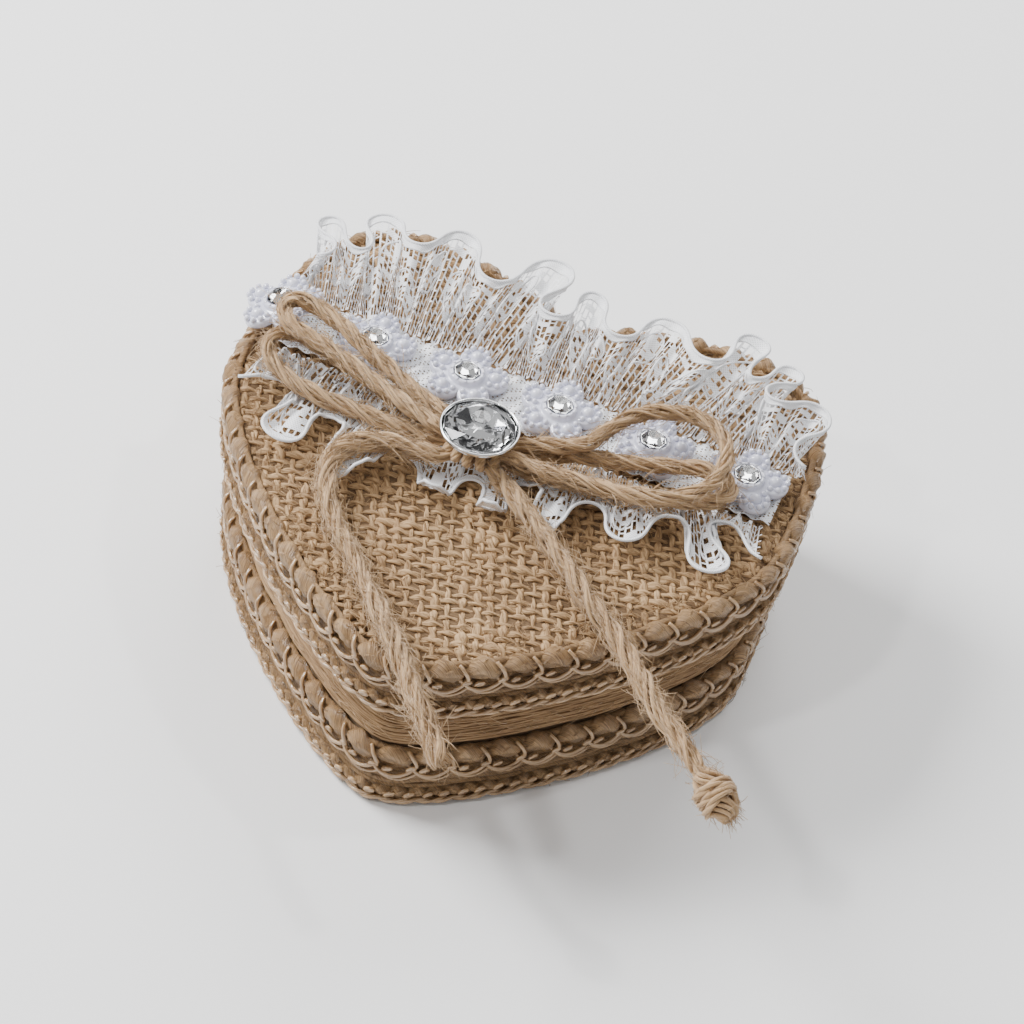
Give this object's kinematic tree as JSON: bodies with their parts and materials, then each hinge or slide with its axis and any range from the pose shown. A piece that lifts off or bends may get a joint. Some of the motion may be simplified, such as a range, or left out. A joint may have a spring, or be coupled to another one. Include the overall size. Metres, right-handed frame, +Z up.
{
  "type": "ring bearer box",
  "caption": "Heart-shaped burlap ring box with a lift-off lid, jute braid trim, gathered lace, pearl flowers, a twine bow and a round crystal.",
  "frame": {"origin": "middle of the footprint, on the surface the box stands on", "axes": "+Z up, the heart's tip points to -Y and its notch to +Y, the lobes lie to -X and +X"},
  "size_m": [0.1119, 0.1125, 0.0487],
  "materials": {
    "kraft_board": "uncoated brown kraft board",
    "jute_thread": "fine natural jute threads laid side by side",
    "burlap": "open plain-weave natural burlap",
    "jute_braid": "twisted jute gimp braid with small glossy knots",
    "jute_twine": "twisted natural jute twine, hairy",
    "white_lace": "white net lace with a dense tape edge",
    "pearl_plastic": "pearlised white moulded plastic",
    "clear_crystal": "faceted clear glass with a foil back",
    "silver_cup": "thin polished silver-coloured cup",
    "cushion_cotton": "natural cotton cushion cloth",
    "satin_ribbon": "ivory satin ribbon"
  },
  "bodies": {
    "base": {"base_floor": "kraft_board", "base_wall": "kraft_board", "jute_thread_wrap": "jute_thread", "base_braid": "jute_braid", "ring_cushion": "cushion_cotton", "ring_tie_ribbon": "satin_ribbon"},
    "lid": {"lid_skirt": "kraft_board", "lid_board": "kraft_board", "lid_burlap": "burlap", "lid_braid": "jute_braid", "lace_heading": "white_lace", "lace_ruffle_front": "white_lace", "lace_ruffle_back": "white_lace", "pearl_flower_1": "pearl_plastic", "pearl_flower_2": "pearl_plastic", "pearl_flower_3": "pearl_plastic", "pearl_flower_4": "pearl_plastic", "pearl_flower_5": "pearl_plastic", "pearl_flower_6": "pearl_plastic", "flower_stone_1": "clear_crystal", "flower_stone_2": "clear_crystal", "flower_stone_3": "clear_crystal", "flower_stone_4": "clear_crystal", "flower_stone_5": "clear_crystal", "flower_stone_6": "clear_crystal", "gem_cup": "silver_cup", "gem_stone": "clear_crystal", "bow_knot": "jute_twine", "bow_loop_right_upper": "jute_twine", "bow_loop_right_lower": "jute_twine", "bow_loop_left_upper": "jute_twine", "bow_loop_left_lower": "jute_twine", "bow_tail_left": "jute_twine", "bow_tail_right": "jute_twine", "tail_end_knot": "jute_twine"}
  },
  "joints": [
    {"name": "lid_lift", "type": "slide", "parent": "base", "child": "lid", "axis": [0, 0, 1], "range_m": [0, 0.045]}
  ]
}
